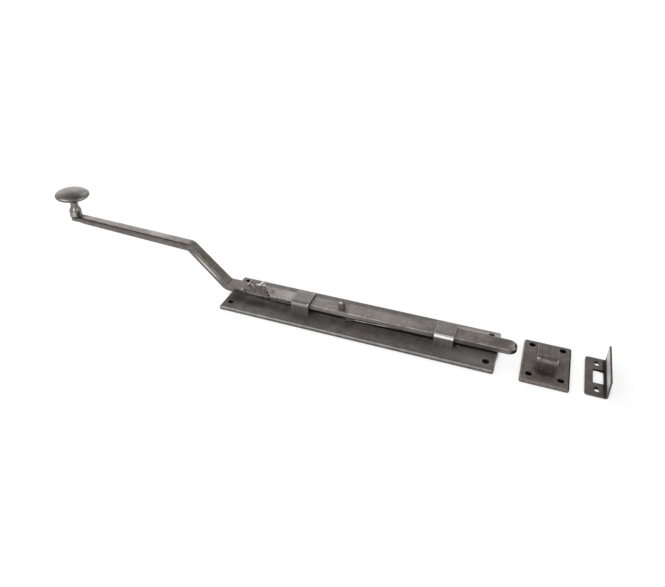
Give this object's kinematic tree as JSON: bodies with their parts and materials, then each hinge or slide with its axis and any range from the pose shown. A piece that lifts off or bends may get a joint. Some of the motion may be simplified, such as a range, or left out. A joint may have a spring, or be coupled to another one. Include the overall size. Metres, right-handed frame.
{
  "type": "french door bolt",
  "caption": "Surface sliding door bolt with a flat bar, a long cranked arm ending in an oval knob, guide straps on a bevelled backplate, a staple keep and an angle keep.",
  "frame": {"origin": "middle of the backplate's back face, where it rests on the door", "axes": "+X along the bolt towards its tip and the keeps, +Y across it, +Z away from the door"},
  "size_m": [0.6976, 0.0694, 0.1087],
  "materials": {
    "plate_steel": "forged mild steel, dark grey patina, satin",
    "angle_steel": "bent mild steel, dark grey patina, satin",
    "strap_steel": "bent mild steel, grey patina rubbed bright at the bends",
    "staple_steel": "bent mild steel, dark grey patina with tool marks",
    "bar_steel": "drawn mild steel bar, grey patina, fine lengthwise grain",
    "knuckle_steel": "weld metal dressed with a chisel, grey patina",
    "arm_steel": "forged mild steel, grey patina, satin",
    "neck_steel": "forged mild steel, grey patina, satin",
    "knob_steel": "forged mild steel, light grey patina, satin",
    "pin_steel": "turned mild steel, grey patina",
    "spring_steel": "blue-grey tempered spring steel"
  },
  "bodies": {
    "plates": {"backplate": "plate_steel", "strap_rear": "strap_steel", "strap_front": "strap_steel", "keep_plate": "plate_steel", "keep_staple": "staple_steel", "angle_keep": "angle_steel"},
    "bolt": {"bolt_bar": "bar_steel", "weld_knuckle": "knuckle_steel", "crank_arm": "arm_steel", "knob_neck": "neck_steel", "knob": "knob_steel", "stop_pin": "pin_steel", "leaf_spring": "spring_steel", "spring_rivet": "pin_steel"}
  },
  "joints": [
    {"name": "bolt_slide", "type": "slide", "parent": "plates", "child": "bolt", "axis": [1, 0, 0], "range_m": [-0.0334, 0.0292]}
  ]
}
